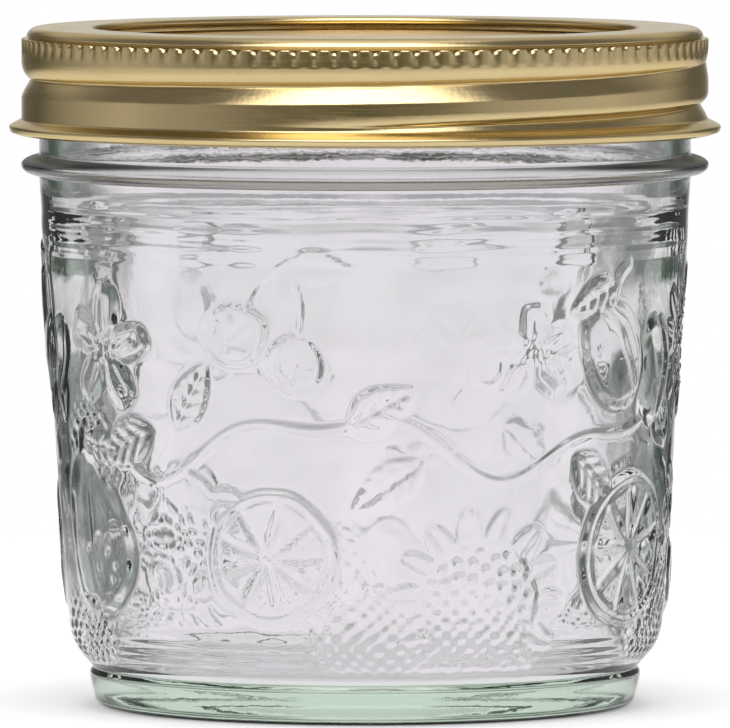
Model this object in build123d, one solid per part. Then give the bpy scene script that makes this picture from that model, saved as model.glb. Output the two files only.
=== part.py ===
from build123d import *

import os
from math import pi

# Wide-mouth mason jar with a two-piece canning lid, standing on its foot ring.
#
# Millimetres, +Z up. The origin is the centre of the resting plane, and the front of the jar faces -Y.
# Four pieces: the glass jar, the lid disc, the sealing ring bonded under the disc, and the screw band.

# ---------------------------------------------------------------- glass jar
jar_height = 83.93              # resting plane to the sealing rim
neck_radius = 40.8              # outside of the neck, under the thread
neck_wall = 2.9
rim_outer_round = 1.1
rim_inner_round = 0.9
bead_drop = 16.18               # transfer bead's crest under the rim
bead_stand = 2.25               # how far it stands out from the neck
bead_thickness = 3.0
bead_round = 1.3
body_taper = 3.8                # neck to heel, on the radius
heel_height = 8.2               # where the body turns in to the foot
heel_round = 7.5
heel_wall = 2.75
foot_inset = 3.4                # heel to the bottom of the foot, on the radius
foot_height = 4.3               # foot band, widest at its top
foot_flare = 1.2
foot_round = 1.0
foot_notch_depth = 0.5          # crease between the foot band and the heel
foot_notch_height = 0.7
resting_ring_width = 5.2        # flat ring that the jar stands on
push_up_height = 1.4            # hollow under the base
push_up_slope = 3.9
push_up_round = 3.0
base_thickness = 3.6
floor_round = 6.0

# ---------------------------------------------------------------- screw thread of glass and band
thread_pitch = 5.08             # five turns to the inch
front_angle = -90.0             # polar angle of the front of the jar
crest_clearance = 0.7           # glass ridge's crest to the band's skirt
groove_clearance = 0.75         # band's groove to the neck
flank_clearance = 0.5           # band's groove to the glass ridge above it

# Ridge on the glass neck
ridge_depth = 1.2
ridge_base_width = 2.0
ridge_crest_width = 0.7
ridge_root = 0.4                # how deep the ridge and the bead are sunk into the neck
ridge_start_turn = -0.16        # turns from the front, where the ridge begins and ends
ridge_end_turn = 1.12

# Groove rolled into the band
groove_drop = 10.55             # its deepest line at the front, under the band's top
groove_bottom_width = 0.3
groove_lower_flank = 0.8
groove_upper_flank = 0.6
groove_start_turn = 0.1
groove_end_turn = 1.2

# ---------------------------------------------------------------- lid disc
disc_sheet = 0.25
disc_bend = 0.5
disc_neck_clearance = 0.95      # turned-down edge to the neck
disc_edge_bend = 1.1
disc_edge_length = 0.1          # straight part of the edge under its bend
panel_bore_clearance = 0.9      # recessed panel to the inside of the mouth
panel_drop = 1.25               # panel below the top of the channel
panel_slope = 1.0
button_radius = 27.0            # raised button in the panel
button_rise = 0.55
button_slope = 1.2

# ---------------------------------------------------------------- sealing ring
seal_thickness = 0.45
seal_width = 2.6
seal_edge_gap = 0.05            # to the bend of the disc's edge
seal_round = 0.15
seal_clearance = 0.02           # over the glass rim

# ---------------------------------------------------------------- screw band
band_sheet = 0.3
band_bend = 0.3
band_overhang = 3.8             # how far its hole's edge reaches inside the jar's bore
band_lip_depth = 0.8            # turned-down edge of the hole
band_corner_round = 1.5
band_disc_clearance = 0.05      # flange to the top of the disc
band_edge_clearance = 0.3       # side of the band to the edge of the disc
skirt_length = 13.35            # top of the band to its bottom
knurl_top_drop = 1.1            # top of the knurl under the top of the band
knurl_length = 2.1
knurl_flute_depth = 0.35
knurl_flute_radius = 0.72
knurl_count = 108
hem_width = 1.6                 # how far the hem stands out from the skirt
hem_height = 1.25
hem_flare_height = 0.45
hem_return_gap = 0.35           # between the hem's turned-back edge and the skirt

# ---------------------------------------------------------------- derived sizes
bore_radius = neck_radius - neck_wall
heel_radius = neck_radius - body_taper
foot_radius = heel_radius - foot_inset
bead_height = jar_height - bead_drop
floor_height = push_up_height + base_thickness

seal_bottom = jar_height + seal_clearance
disc_underside = seal_bottom + seal_thickness
disc_top = disc_underside + disc_sheet
disc_radius = neck_radius + disc_neck_clearance + disc_sheet
seal_outer_radius = disc_radius - disc_sheet / 2 - disc_edge_bend - seal_edge_gap
seal_inner_radius = seal_outer_radius - seal_width

band_top = disc_top + band_disc_clearance + band_sheet
band_bottom = band_top - skirt_length
band_hole_radius = bore_radius - band_overhang
knurl_top = band_top - knurl_top_drop
knurl_bottom = knurl_top - knurl_length
valley_radius = disc_radius + band_edge_clearance + band_sheet
ridge_crest_radius = neck_radius + ridge_depth
skirt_radius = ridge_crest_radius + crest_clearance + band_sheet
knurl_height = skirt_radius - valley_radius

groove_inside_radius = neck_radius + groove_clearance
groove_radius = groove_inside_radius + band_sheet
groove_edge_radius = skirt_radius + band_sheet / 2
groove_height = band_top - groove_drop
flank_share = (ridge_crest_radius - groove_inside_radius) / (groove_edge_radius - groove_radius)
groove_reach = groove_bottom_width / 2 + band_sheet + groove_upper_flank * flank_share
ridge_height = groove_height + groove_reach + flank_clearance + ridge_crest_width / 2


# ---------------------------------------------------------------- profiles and sweeps
def outline(points):
    """Face in the XZ plane with (radius, height, corner round) corners."""
    corners = [(radius, 0, height) for radius, height, _ in points]
    rounds = [corner for _, _, corner in points]
    return make_face(FilletPolyline(*corners, radius=rounds, close=True))


def bent_sheet(points, thickness):
    """Face of a bent sheet in the XZ plane, thickened to both sides of a line of such corners."""
    corners = [(radius, 0, height) for radius, height, _ in points]
    rounds = [corner for _, _, corner in points[1:-1]]
    line = Wire(FilletPolyline(*corners, radius=rounds).edges())
    return make_face(line.offset_2d(thickness / 2).edges())


def turned(face):
    """Solid of revolution of an XZ face about the jar's axis."""
    return revolve(face, Axis.Z)


def helical(section, start_turn, end_turn, front_height):
    """Right-hand helical bar. Its section's points are (radius, height over the helix)."""
    mean_radius = sum(radius for radius, _ in section) / len(section)
    path = Helix(thread_pitch, thread_pitch * (end_turn - start_turn), mean_radius)
    face = make_face(Polyline(*[(radius, 0, height) for radius, height in section], close=True))
    bar = sweep(face, path, is_frenet=True)
    start_height = front_height + thread_pitch * start_turn
    return Pos(0, 0, start_height) * Rot(0, 0, front_angle + 360 * start_turn) * bar


# ---------------------------------------------------------------- pieces
def thread_ridge():
    """Ridge of thread on the glass neck."""
    flank = (ridge_base_width - ridge_crest_width) / 2 / ridge_depth
    half_crest = ridge_crest_width / 2
    half_root = ridge_base_width / 2 + ridge_root * flank
    section = [
        (neck_radius - ridge_root, -half_root),
        (ridge_crest_radius, -half_crest),
        (ridge_crest_radius, half_crest),
        (neck_radius - ridge_root, half_root),
    ]
    return helical(section, ridge_start_turn, ridge_end_turn, ridge_height)


def transfer_bead():
    """Round bead around the jar, under the thread."""
    bead_radius = neck_radius + bead_stand
    top = bead_height + bead_thickness / 2
    bottom = bead_height - bead_thickness / 2
    return turned(outline([
        (neck_radius - ridge_root, bottom, 0),
        (bead_radius, bottom, bead_round),
        (bead_radius, top, bead_round),
        (neck_radius - ridge_root, top, 0),
    ]))


def glass_jar():
    """Foot, tapering body, transfer bead, threaded neck and sealing rim, hollow inside."""
    resting_ring_radius = foot_radius - resting_ring_width
    foot_top_radius = foot_radius + foot_flare
    profile = outline([
        (0, push_up_height, 0),
        (resting_ring_radius - push_up_slope, push_up_height, push_up_round),
        (resting_ring_radius, 0, foot_round / 2),
        (foot_radius, 0, foot_round),
        (foot_top_radius, foot_height, foot_round / 2),
        (foot_top_radius - foot_notch_depth, foot_height + foot_notch_height, foot_notch_depth / 2),
        (heel_radius, heel_height, heel_round),
        (neck_radius, bead_height, 0),
        (neck_radius, jar_height, rim_outer_round),
        (bore_radius, jar_height, rim_inner_round),
        (bore_radius, bead_height, 0),
        (heel_radius - heel_wall, floor_height, floor_round),
        (0, floor_height, 0),
    ])
    return turned(profile) + transfer_bead() + thread_ridge()


def lid_disc():
    """Pressed disc: button, panel, channel over the rim, and a turned-down edge."""
    channel = disc_top - disc_sheet / 2
    channel_radius = bore_radius - panel_bore_clearance
    panel = channel - panel_drop
    edge = disc_radius - disc_sheet / 2
    sheet = bent_sheet(
        [
            (-disc_bend, panel + button_rise, 0),
            (button_radius - button_slope, panel + button_rise, disc_bend),
            (button_radius, panel, disc_bend),
            (channel_radius - panel_slope, panel, disc_bend),
            (channel_radius, channel, disc_bend),
            (edge, channel, disc_edge_bend),
            (edge, channel - disc_edge_bend - disc_edge_length, 0),
        ],
        disc_sheet,
    )
    return turned(split(sheet, Plane.YZ))


def sealing_ring():
    """Flat ring of sealing compound under the disc's channel."""
    return turned(outline([
        (seal_inner_radius, seal_bottom, seal_round),
        (seal_outer_radius, seal_bottom, seal_round),
        (seal_outer_radius, disc_underside, 0),
        (seal_inner_radius, disc_underside, 0),
    ]))


def band_shell():
    """Flange with a turned-down lip, corner, skirt and hem, from one bent sheet."""
    flange = band_top - band_sheet / 2
    lip = band_hole_radius + band_sheet / 2
    valley = valley_radius - band_sheet / 2
    skirt = skirt_radius - band_sheet / 2
    hem = skirt + hem_width
    hem_top = band_bottom + hem_height
    hem_bottom = band_bottom + band_sheet / 2
    return turned(bent_sheet(
        [
            (lip, band_top - band_lip_depth, 0),
            (lip, flange, band_bend),
            (valley, flange, band_corner_round - band_sheet / 2),
            (valley, knurl_bottom, band_bend),
            (skirt, knurl_bottom - knurl_height, band_bend),
            (skirt, hem_top + hem_flare_height, band_bend),
            (hem, hem_top, band_bend),
            (hem, hem_bottom, band_bend),
            (skirt + band_sheet + hem_return_gap, hem_bottom, 0),
        ],
        band_sheet,
    ))


def knurl_ring():
    """Raised ring at the top of the skirt, sloping at the bottom as the sheet behind it does."""
    root = valley_radius - band_sheet / 2
    return turned(outline([
        (root, knurl_bottom, 0),
        (skirt_radius, knurl_bottom - knurl_height, 0),
        (skirt_radius, knurl_top - knurl_height, 0),
        (valley_radius, knurl_top, 0),
        (root, knurl_top, 0),
    ]))


def knurl_flutes():
    """Upright round cutters around the knurl ring, open at the top."""
    centre_radius = skirt_radius - knurl_flute_depth + knurl_flute_radius
    upwards = (Align.CENTER, Align.CENTER, Align.MIN)
    flute = Pos(0, 0, knurl_bottom) * Cylinder(knurl_flute_radius, 2 * knurl_length, align=upwards)
    return PolarLocations(centre_radius, knurl_count) * flute


def thread_groove():
    """The rolled groove: the ridge that it raises inside the band, and the cut that opens it outside."""
    half_bottom = groove_bottom_width / 2
    cut = [
        (groove_edge_radius, -half_bottom - groove_lower_flank),
        (groove_radius, -half_bottom),
        (groove_radius, half_bottom),
        (groove_edge_radius, half_bottom + groove_upper_flank),
    ]
    raised = [
        (radius - band_sheet, height + band_sheet * (1 if height > 0 else -1))
        for radius, height in cut
    ]
    end_wall = band_sheet / (2 * pi * skirt_radius)
    inner = helical(raised, groove_start_turn - end_wall, groove_end_turn + end_wall, groove_height)
    outer = helical(cut, groove_start_turn, groove_end_turn, groove_height)
    return inner, outer


def screw_band():
    """Sheet band with a knurled corner and a rolled thread groove."""
    inner, outer = thread_groove()
    return band_shell() + knurl_ring() + inner - outer - knurl_flutes()


os.makedirs("parts", exist_ok=True)
export_step(glass_jar(), "parts/glass_jar.step")
export_step(lid_disc(), "parts/lid_disc.step")
export_step(sealing_ring(), "parts/sealing_ring.step")
export_step(screw_band(), "parts/screw_band.step")
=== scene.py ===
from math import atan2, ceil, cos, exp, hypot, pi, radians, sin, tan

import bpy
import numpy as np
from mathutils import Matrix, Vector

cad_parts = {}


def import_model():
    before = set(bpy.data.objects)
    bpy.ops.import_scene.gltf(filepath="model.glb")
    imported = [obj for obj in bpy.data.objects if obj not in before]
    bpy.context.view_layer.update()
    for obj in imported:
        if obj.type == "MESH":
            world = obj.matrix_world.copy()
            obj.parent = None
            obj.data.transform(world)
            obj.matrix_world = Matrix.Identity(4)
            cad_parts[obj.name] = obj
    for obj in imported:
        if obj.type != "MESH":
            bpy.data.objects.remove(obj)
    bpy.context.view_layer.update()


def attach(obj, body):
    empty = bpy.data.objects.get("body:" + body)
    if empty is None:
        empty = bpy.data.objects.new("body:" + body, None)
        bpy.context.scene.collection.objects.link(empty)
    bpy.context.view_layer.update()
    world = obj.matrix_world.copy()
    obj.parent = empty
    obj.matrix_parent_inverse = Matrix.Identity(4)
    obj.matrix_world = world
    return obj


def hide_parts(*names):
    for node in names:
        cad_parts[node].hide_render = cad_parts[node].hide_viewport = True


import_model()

# A mason jar: embossed glass, a screw band, a lid disc and its sealing ring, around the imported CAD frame.
# Sizes of pieces are in millimetres until mesh_object turns them into metres. Materials, lamps and the
# camera are in metres. "turn" is measured in turns from the front of the jar, which faces -Y, and runs
# counter-clockwise seen from above.

METRE = 0.001

# ---------------------------------------------------------------- sizes of the pieces
jar_top = 83.93
neck_radius = 40.8
bore_radius = 37.9
rim_outer_round = 1.1
rim_inner_round = 0.9
bead_height = 67.75
bead_radius = 43.05
bead_half = 1.2
bead_fillet = 0.3
heel_radius = 37.0
heel_height = 8.2
heel_round = 7.5
heel_wall = 2.75
foot_radius = 33.6
foot_round = 1.6
foot_flare = 1.0               # at the widest line of the foot band
foot_band_height = 4.2
foot_band_round = 0.9
crease_flare = 0.6             # at the crease over the foot band
crease_height = 5.0
crease_round = 0.3
resting_ring_radius = 28.4     # inner edge of the ring that the jar stands on
resting_ring_round = 0.5
push_up_radius = 24.5
push_up_height = 1.4
push_up_round = 3.0
floor_height = 5.0
floor_round = 6.0
shoulder_drop = 13.0           # from the bead down to where the inside starts to follow the body's taper
shoulder_inset = 0.8           # how much narrower than the bore the inside is there
thread_pitch = 5.08
thread_crest_radius = 42.0
thread_height = 75.96          # crest of the glass thread at the front, on its first turn
thread_start_turn = -0.16
thread_end_turn = 1.12
thread_run = 0.05              # turns over which it rises and fades at its ends
thread_half = 1.05
thread_flank = 0.75
threaded_low = 74.0            # part of the neck that holds the whole thread
threaded_high = 83.4

band_top = 85.0
band_bottom = 71.65
band_hole_radius = 34.1
band_sheet = 0.3
valley_radius = 42.6
skirt_radius = 43.0
hem_radius = 44.6
knurl_top = 83.9
knurl_bottom = 81.4
knurl_count = 108
rim_radius = valley_radius - 0.2       # upright face between the flange's corner and the knurl
rim_line_drop = 0.1                    # from the knurl's top down to a fine line pressed into that face
rim_line_depth = 0.22
rim_line_half = 0.11
side_radius = 42.2                     # whatever is farther out belongs to the side of the band

disc_top = 84.65
disc_sheet = 0.25
disc_radius = 42.0
seal_top = 84.4
seal_thickness = 0.45
seal_inner_radius = 38.12
seal_outer_radius = 40.72
seal_round = 0.15

# ---------------------------------------------------------------- mesh detail
coarse_segments = 384
fine_segments = 768
band_segments = 540
knurl_segments = 1080
disc_segments = 360
seal_segments = 240
floor_segments = 96
jar_centre_ring = 0.5          # smallest ring around the pole
disc_centre_ring = 0.4


# ---------------------------------------------------------------- meshes from rings
def skin(rings, looped):
    """Faces through rings of points. A ring has one point, as many as the last one, or two to one."""
    pairs = list(zip(rings, rings[1:]))
    if looped:
        pairs.append((rings[-1], rings[0]))
    starts = {}
    total = 0
    for points in rings:
        starts[id(points)] = total
        total += len(points)
    faces = []
    for near, far in pairs:
        near_start, far_start = starts[id(near)], starts[id(far)]
        count = max(len(near), len(far))
        index = np.arange(count)
        after = (index + 1) % count
        if len(near) == len(far):
            faces += np.column_stack([
                near_start + index, near_start + after, far_start + after, far_start + index]).tolist()
        elif len(far) == 1:
            faces += np.column_stack([
                near_start + index, near_start + after, np.full(count, far_start)]).tolist()
        elif len(near) == 1:
            faces += np.column_stack([
                np.full(count, near_start), far_start + after, far_start + index]).tolist()
        else:
            faces += two_to_one(near_start, len(near), far_start, len(far))
    return faces


def two_to_one(near_start, near_count, far_start, far_count):
    """Triangles between a ring and one that has twice as many points."""
    half = min(near_count, far_count)
    single = np.arange(half)
    single_after = (single + 1) % half
    double = 2 * single
    double_after = (double + 2) % (2 * half)
    if near_count < far_count:
        near, near_after = near_start + single, near_start + single_after
        far, middle, far_after = far_start + double, far_start + double + 1, far_start + double_after
        triangles = [(near, middle, far), (near, near_after, middle), (near_after, far_after, middle)]
    else:
        near, middle, near_after = near_start + double, near_start + double + 1, near_start + double_after
        far, far_after = far_start + single, far_start + single_after
        triangles = [(near, middle, far), (middle, far_after, far), (middle, near_after, far_after)]
    return np.concatenate([np.column_stack(triangle) for triangle in triangles]).tolist()


def mesh_object(name, rings, looped, material):
    """Smooth object through rings of points given in millimetres."""
    mesh = bpy.data.meshes.new(name)
    mesh.from_pydata((np.concatenate(rings) * METRE).tolist(), [], skin(rings, looped))
    mesh.polygons.foreach_set("use_smooth", [True] * len(mesh.polygons))
    mesh.materials.append(material)
    piece = bpy.data.objects.new(name, mesh)
    bpy.context.scene.collection.objects.link(piece)
    return piece


def turns_of(count):
    """Turns from the front, from 0 to 1, of a ring's points."""
    return np.arange(count) / count


def ring(radius, height, count):
    """Points around the axis, starting at the front, with one radius and height or one for each."""
    angle = 2 * pi * turns_of(count) - pi / 2
    return np.column_stack([radius * np.cos(angle), radius * np.sin(angle), height + np.zeros(count)])


def pole(height):
    """A ring of one point, on the axis."""
    return np.array([[0.0, 0.0, height]])


# ---------------------------------------------------------------- outlines
def rounded_path(corners, arc_step=radians(10)):
    """(radius, height) points of a line whose inner corners are rounded."""
    points = [np.array(corners[0][:2], float)]
    for before, corner, after in zip(corners, corners[1:], corners[2:]):
        here = np.array(corner[:2], float)
        into = here - np.array(before[:2], float)
        out = np.array(after[:2], float) - here
        into /= hypot(*into)
        out /= hypot(*out)
        bend = atan2(into[0] * out[1] - into[1] * out[0], into @ out)
        radius = corner[2]
        if radius == 0 or abs(bend) < arc_step / 4:
            points.append(here)
            continue
        side = 1 if bend > 0 else -1
        inwards = side * np.array([-into[1], into[0]])
        centre = here - into * radius * tan(abs(bend) / 2) + inwards * radius
        steps = max(2, ceil(abs(bend) / arc_step))
        for step in range(steps + 1):
            angle = bend * step / steps
            spoke = np.array([
                inwards[0] * cos(angle) - inwards[1] * sin(angle),
                inwards[0] * sin(angle) + inwards[1] * cos(angle)])
            points.append(centre - spoke * radius)
    points.append(np.array(corners[-1][:2], float))
    return np.array(points)


def subdivided(points, spacing):
    """The same line with its long straight parts divided; spacing is a function of (radius, height)."""
    result = [points[0]]
    for start, end in zip(points, points[1:]):
        middle = (start + end) / 2
        parts = max(1, ceil(hypot(*(end - start)) / spacing(*middle)))
        for part in range(1, parts + 1):
            result.append(start + (end - start) * part / parts)
    return np.array(result)


def normals(points):
    """Unit normals of a line, to the right of its direction."""
    direction = np.gradient(points, axis=0)
    direction /= np.hypot(direction[:, 0], direction[:, 1])[:, None]
    return np.column_stack([direction[:, 1], -direction[:, 0]])


def smooth_step(value, low, high):
    """0 up to low, 1 from high on, and an S-shaped rise in between."""
    t = np.clip((value - low) / (high - low), 0, 1)
    return t * t * (3 - 2 * t)


# ---------------------------------------------------------------- nodes
def feed(tree, socket, value):
    """Link an input to another node's output, or set its value."""
    if isinstance(value, bpy.types.NodeSocket):
        tree.links.new(value, socket)
    else:
        socket.default_value = value


def node(tree, kind, **inputs):
    """A shader node and its inputs, by name with underscores for spaces, or by number as i0, i1 and so on."""
    made = tree.nodes.new("ShaderNode" + kind)
    for name, value in inputs.items():
        numbered = name[0] == "i" and name[1:].isdigit()
        feed(tree, made.inputs[int(name[1:]) if numbered else name.replace("_", " ")], value)
    return made


def math_node(tree, operation, *values):
    """Result of a maths node whose inputs are values or other nodes' outputs."""
    made = tree.nodes.new("ShaderNodeMath")
    made.operation = operation
    for socket, value in zip(made.inputs, values):
        feed(tree, socket, value)
    return made.outputs[0]


def ramp(tree, factor, stops):
    """Colour ramp through (position, grey or colour) stops."""
    made = tree.nodes.new("ShaderNodeValToRGB")
    tree.links.new(factor, made.inputs["Fac"])
    elements = made.color_ramp.elements
    while len(elements) < len(stops):
        elements.new(0.5)
    for element, (position, colour) in zip(elements, stops):
        element.position = position
        grey = isinstance(colour, (int, float))
        element.color = (colour, colour, colour, 1) if grey else (*colour, 1)
    return made.outputs["Color"]


def mix_colour(tree, factor, first, second):
    """The first colour where the factor is 0 and the second where it is 1."""
    made = tree.nodes.new("ShaderNodeMix")
    made.data_type = "RGBA"
    feed(tree, made.inputs["Factor"], factor)
    feed(tree, made.inputs[6], first)
    feed(tree, made.inputs[7], second)
    return made.outputs[2]


def new_material(name):
    """A material and its empty node tree."""
    material = bpy.data.materials.new(name)
    material.use_nodes = True
    tree = material.node_tree
    tree.nodes.clear()
    return material, tree


def noise(tree, scale, detail=3.0, roughness=0.5):
    """Noise with features of 1/scale metres."""
    place = node(tree, "TexCoord").outputs["Object"]
    made = node(tree, "TexNoise", Vector=place, Scale=scale, Detail=detail, Roughness=roughness)
    return made.outputs["Fac"]


def bumped(tree, height, distance, strength=1.0):
    """Normal raised by a height of 0 to 1 over a distance in metres."""
    return node(tree, "Bump", Height=height, Distance=distance, Strength=strength).outputs["Normal"]


# ---------------------------------------------------------------- materials
frosted_height = bead_height + 0.7         # middle of the rougher strip along the top of the bead
frosted_half = 0.8
frosted_slope = 0.35                       # least upward part of the normal there
frosted_roughness = 0.35


def frosted_strip(tree):
    """1 on the upward flank of the bead and 0 elsewhere."""
    place = node(tree, "TexCoord")
    height = node(tree, "SeparateXYZ", Vector=place.outputs["Object"]).outputs["Z"]
    off = math_node(tree, "ABSOLUTE", math_node(tree, "SUBTRACT", height, frosted_height * METRE))
    upward = node(tree, "SeparateXYZ", Vector=place.outputs["Normal"]).outputs["Z"]
    return math_node(
        tree, "MULTIPLY", math_node(tree, "LESS_THAN", off, frosted_half * METRE),
        math_node(tree, "GREATER_THAN", upward, frosted_slope))


def glass_material():
    """Slightly green soda-lime glass with faint waves and grain, and a rougher strip along the bead."""
    material, tree = new_material("clear_glass")
    waves = noise(tree, 260, 2)
    grain = noise(tree, 1400, 2)
    height = math_node(tree, "MULTIPLY_ADD", grain, 0.15, waves)
    roughness = node(tree, "MapRange", Value=noise(tree, 900), To_Min=0.0, To_Max=0.04).outputs["Result"]
    roughness = math_node(tree, "MULTIPLY_ADD", frosted_strip(tree), frosted_roughness, roughness)
    tint = ramp(tree, noise(tree, 60), [(0.3, (0.895, 0.87, 0.9)), (0.7, (0.915, 0.888, 0.92))])
    shader = node(
        tree, "BsdfPrincipled", Base_Color=tint, Roughness=roughness, IOR=1.5, Transmission_Weight=1.0,
        Normal=bumped(tree, height, 0.000018))
    depth = node(tree, "VolumeAbsorption", Color=(0.55, 0.83, 0.58, 1), Density=12.0)
    node(tree, "OutputMaterial", Surface=shader.outputs[0], Volume=depth.outputs[0])
    return material


def gold_material(name, base, worn, under, grazing, enamel):
    """Gold lacquer on tinplate, with rolling grain, colour drift and orange peel.

    Faces that look down have the colour "under", and are enamel in place of metal where enamel is 1.
    """
    material, tree = new_material(name)
    drift = noise(tree, 120)
    peel = noise(tree, 1500, 2)
    place = node(tree, "TexCoord").outputs["Object"]
    stretched = node(tree, "Mapping", Vector=place, Scale=(200, 200, 5000)).outputs[0]
    grain = node(tree, "TexNoise", Vector=stretched, Scale=1.0, Detail=2.0).outputs["Fac"]
    colour = mix_colour(tree, ramp(tree, drift, [(0.35, 0.0), (0.7, 1.0)]), (*base, 1), (*worn, 1))
    facing = node(tree, "SeparateXYZ", Vector=node(tree, "TexCoord").outputs["Normal"]).outputs["Z"]
    downward = math_node(tree, "LESS_THAN", facing, -0.5)
    colour = mix_colour(tree, downward, colour, (*under, 1))
    roughness = node(
        tree, "MapRange", Value=grain, From_Min=0.3, From_Max=0.7,
        To_Min=0.16, To_Max=0.25).outputs["Result"]
    height = math_node(tree, "MULTIPLY_ADD", grain, 0.3, peel)
    shader = node(
        tree, "BsdfPrincipled", Base_Color=colour, Roughness=roughness,
        Metallic=math_node(tree, "MULTIPLY_ADD", downward, -enamel, 1.0),
        Specular_Tint=(*grazing, 1), Coat_Weight=0.25, Coat_Roughness=0.12, Coat_IOR=1.45,
        Normal=bumped(tree, height, 0.000012))
    node(tree, "OutputMaterial", Surface=shader.outputs[0])
    return material


def seal_material():
    """Grey-pink rubbery sealing compound."""
    material, tree = new_material("sealing_compound")
    colour = ramp(tree, noise(tree, 700), [(0.3, (0.33, 0.24, 0.22)), (0.7, (0.42, 0.31, 0.28))])
    roughness = node(tree, "MapRange", Value=noise(tree, 2000), To_Min=0.4, To_Max=0.6).outputs["Result"]
    shader = node(
        tree, "BsdfPrincipled", Base_Color=colour, Roughness=roughness,
        Normal=bumped(tree, noise(tree, 3000), 0.00003))
    node(tree, "OutputMaterial", Surface=shader.outputs[0])
    return material


# ---------------------------------------------------------------- relief on the glass
def ridge(distance, half_width):
    """Rounded ridge, 1 on its line and 0 beyond its half width."""
    return 0.5 + 0.5 * np.cos(pi * np.clip(np.abs(distance) / half_width, 0, 1))


def mottle(turn, height, columns, seed):
    """Smooth random heights from 0 to 1, with this many bumps around the jar."""
    spacing = 2 * pi * heel_radius / columns
    grid = np.random.default_rng(seed).random((ceil(jar_top / spacing) + 2, columns))
    across = turn % 1 * columns
    up = height / spacing
    column = np.floor(across).astype(int)
    row = np.floor(up).astype(int)
    right = smooth_step(across - column, 0, 1)
    above = smooth_step(up - row, 0, 1)
    column %= columns
    beside = (column + 1) % columns
    low = grid[row, column] * (1 - right) + grid[row, beside] * right
    high = grid[row + 1, column] * (1 - right) + grid[row + 1, beside] * right
    return low * (1 - above) + high * above


def curve_through(points, parts=8):
    """Smooth open line through points."""
    points = np.array(points, float)
    ends = np.concatenate([[2 * points[0] - points[1]], points, [2 * points[-1] - points[-2]]])
    result = []
    for a, b, c, d in zip(ends, ends[1:], ends[2:], ends[3:]):
        for t in np.arange(parts) / parts:
            result.append(0.5 * (2 * b + (c - a) * t + (2 * a - 5 * b + 4 * c - d) * t * t
                                 + (3 * b - a - 3 * c + d) * t ** 3))
    result.append(points[-1])
    return np.array(result)


def line_distance(x, y, line):
    """Distance to a line of points, and how far along it, from 0 to 1."""
    best = np.full(x.shape, 1e9)
    along = np.zeros(x.shape)
    count = len(line) - 1
    for number, (start, end) in enumerate(zip(line, line[1:])):
        step = end - start
        t = np.clip(((x - start[0]) * step[0] + (y - start[1]) * step[1]) / (step @ step), 0, 1)
        away = np.hypot(x - start[0] - t * step[0], y - start[1] - t * step[1])
        nearer = away < best
        best = np.where(nearer, away, best)
        along = np.where(nearer, (number + t) / count, along)
    return best, along


def stroke(x, y, points, half_width=0.75, height=0.3, taper=0.5):
    """Raised line that thins towards its end."""
    distance, along = line_distance(x, y, curve_through(points))
    width = half_width * (1 - taper * along)
    return height * (1 - 0.5 * taper * along) * ridge(distance / width, 1.0)


def leaf(x, y, length=9.0, width=5.0):
    """Pointed leaf from the origin along +x: a swelling with a sunk midrib and side veins."""
    t = np.clip(x / length, 0, 1)
    half = width / 2 * np.sin(pi * t ** 0.8) ** 0.9
    inside = (x > 0) & (x < length)
    edge = np.where(inside, half - np.abs(y), -np.hypot(np.minimum(x, 0) + np.maximum(x - length, 0), y))
    body = 0.34 * smooth_step(edge, -0.25, 0.75)
    rib = 0.2 * ridge(y, 0.55)
    veins = 0.12 * ridge((np.abs(y) * 0.9 - x + 40) % 1.7 - 0.85, 0.5)
    return body - (rib + veins) * smooth_step(edge, 0.0, 0.7)


def moved(x, y, dx, dy, angle=0.0, scale=1.0):
    """Coordinates seen from a mark that is moved, turned and scaled."""
    x, y = x - dx, y - dy
    c, s = cos(radians(angle)), sin(radians(angle))
    return (x * c + y * s) / scale, (y * c - x * s) / scale


def rounded_shape(x, y, radius_at, swell=0.5):
    """Fruit-like swelling whose outline is a function of the polar angle."""
    turns = np.linspace(-pi, pi, 49)
    reach = radius_at(turns)
    distance, _ = line_distance(x, y, np.column_stack([reach * np.cos(turns), reach * np.sin(turns)]))
    share = np.hypot(x, y) / radius_at(np.arctan2(y, x))
    edge = np.where(share < 1, distance, -distance)
    return swell * smooth_step(edge, -0.4, 1.3) * (1 - 0.35 * np.clip(share, 0, 1) ** 3)


def dots(x, y, places, radius=0.6, height=0.25):
    """Small round bumps."""
    result = np.zeros(x.shape)
    for px, py in places:
        result = np.maximum(result, height * ridge(np.hypot(x - px, y - py), radius))
    return result


def sunflower_places(count, spacing):
    """Points in a sunflower spiral."""
    number = np.arange(count)
    angle = number * radians(137.508)
    reach = spacing * np.sqrt(number + 0.5)
    return np.column_stack([reach * np.cos(angle), reach * np.sin(angle)])


def pear(x, y):
    def outline(angle):
        return 6.6 + 5.4 * np.exp(-((angle - pi / 2) / 0.62) ** 2) + 0.3 * np.cos(3 * angle)
    body = rounded_shape(x, y, outline, 0.6)
    body = body - stroke(x, y, [(-3.2, 7), (-4.4, 2), (-4.0, -2.5), (-1.4, -4.6)], 0.8, 0.16)
    specks = dots(x, y, [(1.5, 2), (2.8, 0), (0.4, -1.4), (2.6, -3), (-0.8, 1), (3.9, -1.6)], 0.6, 0.14)
    stalk = stroke(x, y, [(0, 11), (0.6, 12.8), (2.2, 14)], 0.8, 0.4, 0.1)
    foliage = leaf(*moved(x, y, 1.2, 12.4, -25, 0.85))
    return np.maximum.reduce([body + specks, stalk, foliage])


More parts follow.
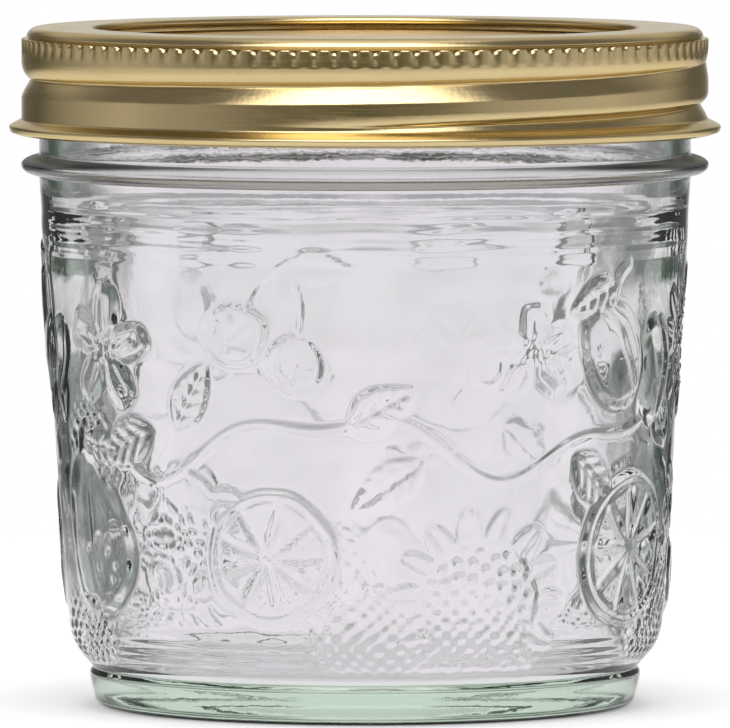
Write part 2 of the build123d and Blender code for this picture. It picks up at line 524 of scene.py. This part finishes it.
def blossom(x, y):
    def outline(angle):
        return 6.6 + 1.6 * np.cos(5 * angle) - 0.5 * np.cos(10 * angle)
    result = rounded_shape(x, y, outline, 0.42)
    for number in range(5):
        between = moved(x, y, 0, 0, 36 + 72 * number)
        vein = moved(x, y, 0, 0, 72 * number)
        result -= stroke(*between, [(1.8, 0), (6.0, 0.2)], 0.9, 0.2)
        result -= stroke(*vein, [(2.6, 0.3), (5.8, 0.8)], 0.6, 0.12)
    centre = dots(x, y, sunflower_places(7, 0.75), 0.75, 0.55)
    return np.maximum(result, centre)


def cherries(x, y):
    result = np.zeros(x.shape)
    for dx, dy, size in ((-4.4, -3.0, 4.8), (4.8, -4.6, 4.4)):
        px, py = x - dx, y - dy
        fruit = rounded_shape(px, py, lambda angle: size + 0.2 * np.cos(2 * angle), 0.6)
        shine = stroke(px, py, [(-2.4, 1.2), (-2.2, -1.4), (-0.4, -2.6)], 0.7, 0.15)
        result = np.maximum(result, fruit - shine)
    for points in ([(-4, 1), (-2.6, 5), (0.6, 8.6)], [(4.2, -0.8), (3.4, 4), (0.6, 8.6)]):
        result = np.maximum(result, stroke(x, y, points, 0.7, 0.36, 0.1))
    return np.maximum(result, leaf(*moved(x, y, 0.6, 8.4, 8, 1.0)))


def seed_head(x, y):
    seeds = dots(x, y, sunflower_places(46, 1.0), 0.85, 0.34)
    reach = np.hypot(x, y)
    petal = np.abs((np.arctan2(y, x) / (2 * pi) * 14) % 1 - 0.5) * 2
    edge = 7.6 + 3.2 * (1 - petal ** 2.2) - reach
    rays = 0.26 * smooth_step(edge, -0.2, 0.8) * smooth_step(reach, 6.4, 7.2)
    return np.maximum(seeds, rays - 0.16 * ridge(petal, 0.3) * (reach > 7.0) * smooth_step(edge, 0, 0.8))


def citrus(x, y):
    reach = np.hypot(x, y)
    rind = 0.5 * smooth_step(8.8 - reach, -0.3, 0.9) - 0.2 * ridge(reach - 7.4, 0.6)
    wedge = ((np.arctan2(y, x) / (2 * pi) * 9) % 1 - 0.5) * 2 * pi / 9 * reach
    membrane = 0.22 * (1 - smooth_step(np.abs(np.abs(wedge) - pi / 9 * reach), 0.1, 0.9))
    return rind - membrane * smooth_step(7.2 - reach, 0, 0.8)


def plums(x, y):
    result = np.zeros(x.shape)
    for dx, dy, tilt, size in ((-3.6, 1.8, 20, 5.6), (4.2, -2.2, -15, 5.2)):
        px, py = moved(x, y, dx, dy, tilt)
        fruit = rounded_shape(px, py, lambda angle: size * (1 + 0.16 * np.cos(2 * (angle - pi / 2))), 0.6)
        seam = stroke(px, py, [(0.4, size + 0.4), (1.9, 1.0), (0.8, -size + 0.2)], 0.8, 0.22)
        result = np.maximum(result, fruit - seam)
    stem = stroke(x, y, [(-3.0, 7.4), (-1.6, 9.6), (0.6, 10.8)], 0.8, 0.4, 0.2)
    return np.maximum.reduce([result, stem, leaf(*moved(x, y, -2.0, 9.2, 188, 0.8))])


def tendril(x, y):
    """Curl that grows from the vine."""
    angle = np.linspace(0, 3.1 * pi, 26)
    reach = 3.6 * (1 - angle / (3.9 * pi))
    curl = np.column_stack([7.2 - reach * np.cos(angle), 2.2 + reach * np.sin(angle)])
    distance, _ = line_distance(x, y, np.concatenate([[[0.0, 0.0], [1.6, 1.6]], curl]))
    return 0.24 * ridge(distance, 0.6)


relief_low = 6.0
relief_high = 62.0
relief_layout = (       # motif, turn from the front, height, lean in degrees, scale, depth
    (blossom, -0.150, 46.0, 12, 1.05, 1.0),
    (pear, -0.168, 20.0, 14, 1.2, 1.0),
    (leaf, -0.118, 36.0, 200, 1.2, 1.0),
    (leaf, -0.102, 36.5, 60, 1.1, 0.9),
    (leaf, -0.225, 36.0, 100, 1.2, 1.0),
    (tendril, -0.095, 31.0, -60, 1.0, 0.9),
    (cherries, -0.048, 50.0, -14, 0.9, 0.65),
    (citrus, -0.050, 21.0, 0, 0.95, 0.6),
    (leaf, -0.010, 37.0, 30, 1.2, 0.6),
    (leaf, 0.030, 33.0, 215, 1.2, 0.55),
    (tendril, 0.045, 38.0, 40, 1.0, 0.5),
    (seed_head, 0.062, 15.5, 10, 1.1, 0.75),
    (blossom, 0.088, 46.0, 20, 0.85, 0.5),
    (leaf, 0.115, 33.0, -40, 1.15, 0.9),
    (plums, 0.160, 44.5, 14, 1.15, 1.0),
    (citrus, 0.164, 21.0, 15, 1.1, 1.0),
    (leaf, 0.205, 33.0, 120, 1.2, 1.0),
    (tendril, 0.225, 31.0, -70, 1.0, 1.0),
    (seed_head, 0.262, 46.0, 0, 1.0, 1.0),
    (cherries, 0.275, 19.0, -10, 1.15, 1.0),
    (leaf, 0.325, 36.0, 45, 1.2, 1.0),
    (blossom, 0.360, 19.0, 30, 1.1, 0.9),
    (pear, 0.375, 43.0, 18, 1.0, 0.9),
    (leaf, 0.420, 33.0, -150, 1.2, 0.8),
    (citrus, 0.450, 45.0, 40, 0.9, 0.4),
    (plums, 0.470, 20.0, -20, 1.0, 0.45),
    (leaf, -0.480, 36.0, 70, 1.1, 0.8),
    (tendril, -0.450, 36.0, 30, 1.0, 0.9),
    (blossom, -0.410, 46.0, 0, 1.05, 0.9),
    (seed_head, -0.385, 17.0, 0, 1.1, 1.0),
    (leaf, -0.355, 33.0, -60, 1.2, 1.0),
    (cherries, -0.320, 46.0, 12, 1.1, 1.0),
    (citrus, -0.280, 20.0, 0, 1.05, 1.0),
    (plums, -0.245, 47.0, -10, 1.0, 1.0),
)
motif_reach = 20.0


def vine(turn, height):
    """Wavering stem around the middle of the jar."""
    angle = 2 * pi * turn
    middle = 35.0 + 3.4 * np.cos(5 * angle + 0.6) + 1.6 * np.sin(11 * angle)
    slope = (-17.0 * np.sin(5 * angle + 0.6) + 17.6 * np.cos(11 * angle)) / heel_radius
    there = smooth_step(mottle(turn, height, 9, 10), 0.3, 0.6)
    return 0.16 * there * ridge((height - middle) / np.hypot(1, slope), 0.85)


# each patch: turn and height of its middle, half its width in turns and half its height
pebble_patches = [
    (0.035, 10.0, 0.075, 9.0), (0.20, 14.0, 0.05, 9.0), (0.36, 11.0, 0.06, 8.0), (0.52, 13.0, 0.06, 9.0),
    (-0.34, 12.0, 0.06, 9.0), (-0.17, 33.0, 0.03, 8.0), (-0.19, 10.0, 0.04, 7.0)]


def pebbles(turn, height):
    """Patches of small close bumps low on the jar."""
    across = 112 * turn + 0.9 * mottle(turn, height, 50, 6)
    up = height / 2.0 + 0.9 * mottle(turn, height, 50, 7)
    bumps = 0.5 + 0.5 * np.cos(2 * pi * across) * np.cos(2 * pi * up)
    patch = np.zeros(turn.shape)
    for at_turn, at_height, turns, rise in pebble_patches:
        off = np.hypot(((turn - at_turn + 0.5) % 1 - 0.5) / turns, (height - at_height) / rise)
        patch = np.maximum(patch, smooth_step(1 - off, 0, 0.4))
    return 0.24 * bumps * patch


def relief_height(turn, height, radius):
    """How far the embossing stands out of the glass at points of the body, in millimetres."""
    around = 2 * pi * radius
    result = np.maximum(vine(turn, height), pebbles(turn, height))
    wobble = 0.7 * (mottle(turn, height, 60, 1) - 0.5)
    for motif, at_turn, at_height, lean, scale, depth in relief_layout:
        x = ((turn - at_turn + 0.5) % 1 - 0.5) * around + wobble
        y = height - at_height + wobble
        near = np.hypot(x, y) < motif_reach * scale
        stamped = depth * motif(*moved(x[near], y[near], 0, 0, lean, scale))
        result[near] = np.maximum(result[near], stamped)
    worn = 0.6 + 0.6 * mottle(turn, height, 46, 2)
    uneven = 0.07 * mottle(turn, height, 80, 3) + 0.15 * mottle(turn, height, 26, 4)
    fade = smooth_step(height, relief_low - 0.5, relief_low + 2.0) * smooth_step(
        relief_high - height, -0.5, 2.0)
    return (result * worn + uneven) * fade


# ---------------------------------------------------------------- glass jar
def glass_thread(turn, height):
    """How far the glass thread stands out of the neck."""
    result = np.zeros(np.broadcast(turn, height).shape)
    for lap in (-1, 0, 1):
        wound = turn + lap
        off = np.abs(height - thread_height - thread_pitch * wound)
        bar = smooth_step(thread_half - off, 0, thread_flank)
        run_in = smooth_step(wound, thread_start_turn, thread_start_turn + thread_run)
        run_out = smooth_step(thread_end_turn - wound, 0, thread_run)
        result = np.maximum(result, bar * run_in * run_out)
    return result * (thread_crest_radius - neck_radius)


def outer_row(radius, height):
    """One ring of the outside of the jar."""
    if relief_low - 0.5 < height < relief_high + 0.5 and radius > foot_radius + 0.5:
        relief = relief_height(turns_of(fine_segments), np.full(fine_segments, height), radius)
        return ring(radius + relief, height, fine_segments)
    if threaded_low < height < threaded_high:
        thread = glass_thread(turns_of(coarse_segments), height)
        return ring(radius + thread, height, coarse_segments)
    return ring(radius, height, coarse_segments)


ripple_length = 2.3
fine_ripple_length = 1.07


def inner_row(radius, height):
    """One ring of the inside: slow waves down the body, ripples under the neck and a thicker shoulder."""
    turn = turns_of(coarse_segments)
    angle = 2 * pi * turn
    fade = smooth_step(height, 7, 16) * smooth_step(64 - height, 0, 12)
    waves = (
        0.03 * np.sin(angle * 9 + 0.21 * height) + 0.02 * np.sin(angle * 17 - 0.33 * height)
        + 0.03 * np.sin(angle * 4 + 0.12 * height + 1.0) + 0.04 * sin(0.62 * height))
    at = np.full(coarse_segments, height)
    broad = mottle(turn, at, 14, 8)
    close = mottle(turn, at, 30, 9)
    rolled = 0.03 * np.sin(2 * pi * height / ripple_length + 2.5 * broad)
    rolled = rolled + 0.011 * np.sin(2 * pi * height / fine_ripple_length - 2 * close)
    rolled *= (0.3 + 1.3 * close) * smooth_step(height, 55.5, 58.5) * smooth_step(64.8 - height, 0, 1.5)
    shoulder = (0.6 + 0.45 * broad) * smooth_step(height, 44.0, 56.0) * smooth_step(66.0 - height, 0, 10.0)
    return ring(radius + fade * waves + rolled - shoulder, height, coarse_segments)


def outer_spacing(radius, height):
    """Distance between rings of the outside: close on the relief and the thread."""
    if radius < foot_radius - 8:
        return 4.0
    if relief_low < height < relief_high:
        return 0.36
    if threaded_low < height < threaded_high:
        return 0.25
    return 0.8


def bead_nose():
    """Corners of the bead: half an ellipse between two fillets."""
    bulge = [
        (neck_radius + (bead_radius - neck_radius) * cos(angle), bead_height + bead_half * sin(angle), 0)
        for angle in np.radians(np.arange(-66, 67, 11))]
    return [
        (neck_radius, bead_height - bead_half, bead_fillet),
        *bulge,
        (neck_radius, bead_height + bead_half, bead_fillet)]


def inner_spacing(radius, height):
    """Distance between rings of the inside: close where the ripples are."""
    return 0.18 if 55 < height < 67 else 1.2


def glass_jar():
    """The jar as one skin, from under the base up the outside, over the rim and down the inside."""
    rim_middle = (neck_radius + bore_radius) / 2
    outside = subdivided(rounded_path([
        (jar_centre_ring, push_up_height, 0),
        (push_up_radius, push_up_height, push_up_round),
        (resting_ring_radius, 0, resting_ring_round),
        (foot_radius, 0, foot_round),
        (foot_radius + foot_flare, foot_band_height, foot_band_round),
        (foot_radius + crease_flare, crease_height, crease_round),
        (heel_radius, heel_height, heel_round),
        *bead_nose(),
        (neck_radius, jar_top, rim_outer_round),
        (rim_middle, jar_top, 0),
    ]), outer_spacing)
    inside = subdivided(rounded_path([
        (rim_middle, jar_top, 0),
        (bore_radius, jar_top, rim_inner_round),
        (bore_radius, bead_height, 0),
        (bore_radius - shoulder_inset, bead_height - shoulder_drop, 0),
        (heel_radius - heel_wall, floor_height, floor_round),
        (jar_centre_ring, floor_height, 0),
    ]), inner_spacing)
    rings = [pole(push_up_height)]
    rings += [outer_row(*point) for point in outside]
    rings += [inner_row(*point) for point in inside[1:]]
    rings.append(pole(floor_height))
    return mesh_object("embossed_glass", rings, False, glass_material())


# ---------------------------------------------------------------- lid disc and seal
panel_depth = 1.25
panel_crown = 0.32             # how far the middle of the panel stands up
pressed_ring_depth = 0.18      # of the ring around it
curl_drop = 1.2


def lid_disc(material):
    """Disc pressed from one sheet: crowned panel, pressed ring, step up to the rim and turned-down edge."""
    middle = disc_top - disc_sheet / 2
    panel = middle - panel_depth
    edge = disc_radius - disc_sheet / 2
    line = subdivided(rounded_path([
        (disc_centre_ring, panel + panel_crown, 0),
        (12.0, panel + panel_crown, 20),
        (25.8, panel + 0.26, 0.6),
        (27.0, panel, 0.6),
        (30.2, panel, 1.0),
        (30.8, panel - pressed_ring_depth, 0.5),
        (31.6, panel - pressed_ring_depth, 0.5),
        (32.2, panel, 1.0),
        (36.3, panel, 0.22),
        (36.4, middle, 0.3),
        (edge, middle, 1.1),
        (edge, middle - curl_drop, 0),
    ]), lambda radius, height: 1.5)[::-1]
    side = normals(line) * disc_sheet / 2
    upper = line + side
    lower = (line - side)[::-1]
    rings = [pole(lower[0][1])]
    rings += [ring(radius, height, disc_segments) for radius, height in lower[1:]]
    rings += [ring(radius, height, disc_segments) for radius, height in upper[:-1]]
    rings.append(pole(upper[-1][1]))
    return mesh_object("pressed_lid", rings, False, material)


def sealing_ring():
    """Flat ring of sealing compound with rounded lower edges."""
    bottom = seal_top - seal_thickness
    outline = rounded_path([
        (seal_inner_radius, seal_top, 0),
        (seal_inner_radius, bottom, seal_round),
        (seal_outer_radius, bottom, seal_round),
        (seal_outer_radius, seal_top, 0),
    ])
    rings = [ring(radius, height, seal_segments) for radius, height in outline]
    return mesh_object("seal_bead", rings, True, seal_material())


# ---------------------------------------------------------------- screw band
groove_depth = 1.15
groove_height = 74.45          # of its crease at the front, before the sway
groove_sway = (0.35, 0.2)      # how far the crease dips at the front and a quarter turn on
groove_lower_flank = 2.2
groove_upper_flank = 1.5       # at the front, and wider by groove_widening after one turn
groove_widening = 0.9
groove_run_in = (-0.06, 0.12)  # turns between which the groove deepens, and those where it fades
groove_run_out = (1.16, 1.3)
grooved_low = 72.0             # part of the skirt that holds the whole groove
grooved_high = 82.0


def groove_profile(off, upper_flank):
    """Depth of the groove, 1 at its crease, at a height above or below the crease."""
    above = np.clip(1 - off / upper_flank, 0, 1)
    below = np.clip(1 + off / groove_lower_flank, 0, 1)
    return np.where(off > 0, 0.22 * above + 0.78 * above ** 3, below ** 1.3)


def band_groove(turn, height):
    """How deep the rolled thread groove is in the skirt."""
    result = np.zeros(turn.shape)
    for lap in (-1, 0, 1):
        wound = turn + lap
        angle = 2 * pi * wound
        crease = groove_height + thread_pitch * np.maximum(wound, 0)
        crease = crease - groove_sway[0] * np.cos(angle) - groove_sway[1] * np.sin(angle)
        upper_flank = groove_upper_flank + groove_widening * smooth_step(wound, 0.2, 1.0)
        run = smooth_step(wound, *groove_run_in) * (1 - smooth_step(wound, *groove_run_out))
        result = np.maximum(result, run * groove_profile(height - crease, upper_flank))
    return groove_depth * result


flute_top = knurl_top - 0.4
flute_shares = (0, 0.45, 1)            # places on the way down a flute, as shares of it
flute_depths = (0.31, 0.21, 0)         # at those places
flute_half_width = 0.8                 # at the top, and wider by flute_widening at the bottom
flute_widening = 0.3
scallop_depth = 0.24                   # added at the top, where the flutes cut the rim into scallops
scallop_share = 0.14


def knurled_radius(turn, radius, height):
    """Radius of the knurl: upright ribs between flutes that are deepest at the top and run out below."""
    flute = np.abs((turn * knurl_count) % 1 - 0.5) * 2 * pi * skirt_radius / knurl_count
    drop = min(max((flute_top - height) / (flute_top - knurl_bottom), 0), 1)
    depth = np.interp(drop, flute_shares, flute_depths) + scallop_depth * exp(-(drop / scallop_share) ** 2)
    half_width = flute_half_width + flute_widening * drop ** 2
    return radius - depth * (1 - smooth_step(flute, 0, half_width))


def band_spacing(radius, height):
    """Distance between rings of the band: closest at the knurl's upper corner."""
    if radius > valley_radius - 0.4 and knurl_bottom - 0.3 < height < knurl_top - 0.6:
        return 0.12
    if radius > valley_radius - 0.4 and knurl_top - 0.6 < height < knurl_top + 0.3:
        return 0.05
    if radius > side_radius and 73.6 < height < knurl_bottom:
        return 0.13
    if radius > side_radius:
        return 0.3
    return 1.5


def band_row(radius, height, outside):
    """One ring of the band's outer or inner side."""
    on_knurl = radius > valley_radius - 0.1 and knurl_bottom - 0.3 < height < knurl_top - 0.29
    on_corner = outside and radius > valley_radius - 0.4 and knurl_top - 0.5 < height < knurl_top - 0.29
    if on_knurl or on_corner:
        turn = turns_of(knurl_segments)
        groove = band_groove(turn, np.full(knurl_segments, height))
        return ring(knurled_radius(turn, radius, height) - groove, height, knurl_segments)
    if outside and knurl_top - 0.5 < height < knurl_top + 0.3 and radius > valley_radius - 0.4:
        line = rim_line_depth * np.exp(-((height - knurl_top + rim_line_drop) / rim_line_half) ** 2)
        return ring(radius - line, height, band_segments)
    if side_radius < radius < skirt_radius + 0.1 and grooved_low < height < grooved_high:
        groove = band_groove(turns_of(band_segments), np.full(band_segments, height))
        return ring(radius - groove, height, band_segments)
    return ring(radius, height, band_segments)


def screw_band(material):
    """Band rolled from one sheet: lip, flange, knurled corner, skirt with its groove, and hem."""
    flange = band_top - band_sheet / 2
    lip = band_hole_radius + band_sheet / 2
    half = band_sheet / 2
    line = subdivided(rounded_path([
        (lip, band_top - 0.8, 0),
        (lip, flange, 0.35),
        (rim_radius - half, flange, 1.2),
        (rim_radius - half, knurl_top - 0.3, 0),
        (skirt_radius - half, knurl_top - 0.44, 0.03),
        (skirt_radius - half, band_bottom + 1.8, 0.5),
        (hem_radius - half, band_bottom + 0.95, 0.2),
        (hem_radius - half - 0.2, band_bottom + 0.4, 0.2),
        (hem_radius - 1.1, band_bottom + half, 0.25),
        (skirt_radius - 0.05, band_bottom + half, 0.2),
        (skirt_radius - 0.1, band_bottom + 0.6, 0),
    ]), band_spacing)
    side = normals(line) * half
    outer = line - side
    inner = (line + side)[::-1]
    rings = [band_row(radius, height, True) for radius, height in outer]
    rings += [band_row(radius, height, False) for radius, height in inner]
    return mesh_object("rolled_band", rings, True, material)


# ---------------------------------------------------------------- studio
softbox_light = 4.0
zenith_light = 1.2
diffuse_light = 0.8


def by_bearing(tree, bearing, stops):
    """Ramp through (degrees from the camera's side, colour) stops."""
    return ramp(tree, bearing, [(0.5 + degrees / 360, colour) for degrees, colour in stops])


def by_elevation(tree, elevation, stops):
    """Ramp through (degrees above the horizon, colour) stops."""
    place = math_node(tree, "MULTIPLY_ADD", elevation, 1 / 180, 0.5)
    return ramp(tree, place, [(0.5 + degrees / 180, colour) for degrees, colour in stops])


def progress(tree, value, start, end):
    """0 at start and 1 at end, straight in between and level beyond them."""
    return node(tree, "MapRange", Value=value, From_Min=start, From_Max=end).outputs["Result"]


def reflected_surroundings(tree, bearing, elevation):
    """What gloss shows: grey flats at eye level, a pale ground, a softbox high in front and a bright top.

    Bearings and elevations are in degrees.
    """
    flats = by_bearing(tree, bearing, (
        (-180, 0.7), (-172, 0.62), (-163, 0.16), (-142, 0.12), (-127, 0.3), (-92, 0.62), (-58, 0.41),
        (-30, (0.19, 0.185, 0.15)), (0, (0.13, 0.125, 0.09)), (28, (0.25, 0.245, 0.21)), (46, 0.52),
        (87, 0.7), (119, 0.5), (140, 0.16), (163, 0.16), (172, 0.62), (180, 0.7)))
    high = by_bearing(tree, bearing, ((-150, 0.65), (-110, 0.2), (110, 0.2), (150, 0.65)))
    colour = mix_colour(tree, progress(tree, elevation, 14, 24), flats, high)
    colour = mix_colour(tree, progress(tree, elevation, -8.0, -14.0), colour, (0.85, 0.85, 0.85, 1))
    box_side = by_bearing(tree, bearing, ((-55, 0.0), (-32, 1.0), (22, 1.0), (48, 0.0)))
    softbox = math_node(tree, "MULTIPLY", box_side, progress(tree, elevation, 18, 28))
    colour = mix_colour(tree, softbox, colour, (softbox_light, softbox_light, softbox_light, 1))
    top = progress(tree, elevation, 64, 74)
    return mix_colour(tree, top, colour, (zenith_light, zenith_light, zenith_light, 1))


def refracted_surroundings(tree, bearing, elevation):
    """What glass shows of what lies behind it: pale, with darker bands that draw its edges and relief.

    The pattern repeats every 90 degrees, so the glass looks alike from the front, the sides and the back.
    """
    fold = math_node(tree, "PINGPONG", math_node(tree, "MULTIPLY", bearing, 360.0), 45.0)
    share = math_node(tree, "DIVIDE", fold, 45.0)
    near_horizon = ramp(tree, share, [
        (0.0, 1.0), (7.5 / 45, 1.0), (10 / 45, 0.55), (13 / 45, (0.2, 0.23, 0.2)),
        (17 / 45, (0.13, 0.16, 0.13)), (24 / 45, (0.05, 0.08, 0.055)), (28 / 45, (0.05, 0.08, 0.055)),
        (32 / 45, (0.13, 0.16, 0.135)), (38 / 45, (0.36, 0.42, 0.37)), (1.0, 0.5)])
    off_horizon = by_elevation(tree, elevation, ((-16, 1.0), (-12, 0.0), (2.0, 0.0), (4.0, 1.0)))
    colour = mix_colour(tree, off_horizon, near_horizon, (0.95, 0.95, 0.95, 1))
    above = by_elevation(tree, elevation, ((6, 0.0), (13, 1.0), (20, 1.0), (30, 0.0)))
    beside = ramp(tree, share, [(0.0, 0.66), (6 / 45, 0.66), (14 / 45, 1.0)])
    colour = mix_colour(tree, math_node(tree, "MULTIPLY", above, beside), colour, (0.18, 0.21, 0.18, 1))
    below = by_elevation(tree, elevation, ((-15, 0.0), (-12, 0.62), (-9.5, 0.62), (-5.3, 0.0)))
    return mix_colour(tree, below, colour, (0.18, 0.19, 0.18, 1))


def world():
    """Pale light for diffuse surfaces, white for the camera, and surroundings for gloss and glass to show."""
    made = bpy.data.worlds.new("studio")
    bpy.context.scene.world = made
    made.use_nodes = True
    tree = made.node_tree
    tree.nodes.clear()
    direction = node(tree, "TexCoord").outputs["Generated"]
    x, y, z = node(tree, "SeparateXYZ", Vector=direction).outputs
    bearing = math_node(tree, "ARCTAN2", x, math_node(tree, "MULTIPLY", y, -1.0))
    bearing = math_node(tree, "MULTIPLY_ADD", bearing, 0.5 / pi, 0.5)
    elevation = math_node(tree, "MULTIPLY", math_node(tree, "ARCSINE", z), 180 / pi)
    path = node(tree, "LightPath").outputs
    colour = mix_colour(
        tree, path["Is Glossy Ray"], (diffuse_light, diffuse_light, diffuse_light, 1),
        reflected_surroundings(tree, bearing, elevation))
    colour = mix_colour(
        tree, path["Is Transmission Ray"], colour, refracted_surroundings(tree, bearing, elevation))
    colour = mix_colour(tree, path["Is Camera Ray"], colour, (1, 1, 1, 1))
    background = node(tree, "Background", Color=colour, Strength=1.0)
    node(tree, "OutputWorld", Surface=background.outputs[0])


table_fade_start = 0.16        # metres from the middle, where the table starts to fade out
table_fade_end = 0.30
floor_level = -0.02            # just under the jar
floor_radii = (300.0, 200.0, 100.0)


def studio_floor():
    """Pale table that fades into the surroundings at its edge. Glass sees a smaller one, evenly bright."""
    material, tree = new_material("pale_floor")
    place = node(tree, "TexCoord").outputs["Object"]
    away = node(tree, "VectorMath", i0=place)
    away.operation = "LENGTH"
    path = node(tree, "LightPath")
    through_glass = path.outputs["Is Transmission Ray"]
    reach = node(tree, "MapRange", Value=through_glass, To_Min=1.0, To_Max=2.0).outputs["Result"]
    away = math_node(tree, "MULTIPLY", away.outputs["Value"], reach)
    fade = progress(tree, away, table_fade_start, table_fade_end)
    white = node(tree, "BsdfDiffuse", Color=(0.96, 0.96, 0.96, 1))
    glow = node(
        tree, "Emission", Color=(1, 1, 1, 1),
        Strength=math_node(tree, "MULTIPLY", path.outputs["Is Camera Ray"], 0.16))
    lit = node(tree, "AddShader", i0=white.outputs[0], i1=glow.outputs[0])
    plain = node(tree, "Emission", Color=(0.88, 0.89, 0.88, 1), Strength=1.0)
    paper = node(tree, "MixShader", i0=through_glass, i1=lit.outputs[0], i2=plain.outputs[0])
    clear = node(tree, "BsdfTransparent")
    surface = node(tree, "MixShader", i0=fade, i1=paper.outputs[0], i2=clear.outputs[0])
    node(tree, "OutputMaterial", Surface=surface.outputs[0])
    rings = [ring(radius, floor_level, floor_segments) for radius in floor_radii]
    floor = mesh_object("floor", [*rings, pole(floor_level)], False, material)


def lamp(name, place, size, power):
    """Soft round lamp that shines on the origin and shows in no reflection or refraction."""
    data = bpy.data.lights.new(name, "AREA")
    data.shape = "DISK"
    data.size = size
    data.energy = power
    made = bpy.data.objects.new(name, data)
    made.location = place
    made.rotation_euler = made.location.to_track_quat("Z", "Y").to_euler()
    made.visible_glossy = False
    made.visible_transmission = False
    bpy.context.scene.collection.objects.link(made)


camera_distance = 1.77
camera_height = 0.1486
aim_height = 0.0427
sensor_width = 36.0            # millimetres, as is the focal length
focal_length = 697.6


def camera():
    """Camera before the front of the jar, higher than its lid, aimed at the middle of its height."""
    data = bpy.data.cameras.new("camera")
    data.sensor_width = sensor_width
    data.lens = focal_length
    made = bpy.data.objects.new("camera", data)
    made.location = (0, -camera_distance, camera_height)
    aim = Vector((0, camera_distance, aim_height - camera_height))
    made.rotation_euler = aim.to_track_quat("-Z", "Y").to_euler()
    bpy.context.scene.collection.objects.link(made)
    bpy.context.scene.camera = made


# ---------------------------------------------------------------- the scene
camera()
world()
studio_floor()
bpy.context.view_layer.update()
lamp("overhead", (0, -0.15, 0.9), 0.8, 4.0)

jar = glass_jar()
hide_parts("glass_jar")
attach(jar, "jar")

disc_gold = gold_material(
    "disc_lacquer", base=(0.71, 0.52, 0.22), worn=(0.65, 0.48, 0.2), under=(0.85, 0.84, 0.8),
    grazing=(1.0, 0.78, 0.38), enamel=1.0)
disc = lid_disc(disc_gold)
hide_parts("lid_disc")
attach(disc, "lid")

seal = sealing_ring()
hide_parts("sealing_ring")
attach(seal, "lid")

band_gold = gold_material(
    "band_lacquer", base=(0.61, 0.48, 0.25), worn=(0.57, 0.445, 0.23), under=(0.6, 0.47, 0.24),
    grazing=(0.95, 0.85, 0.62), enamel=0.0)
band = screw_band(band_gold)
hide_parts("screw_band")
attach(band, "band")

bpy.context.scene.view_settings.view_transform = "Standard"
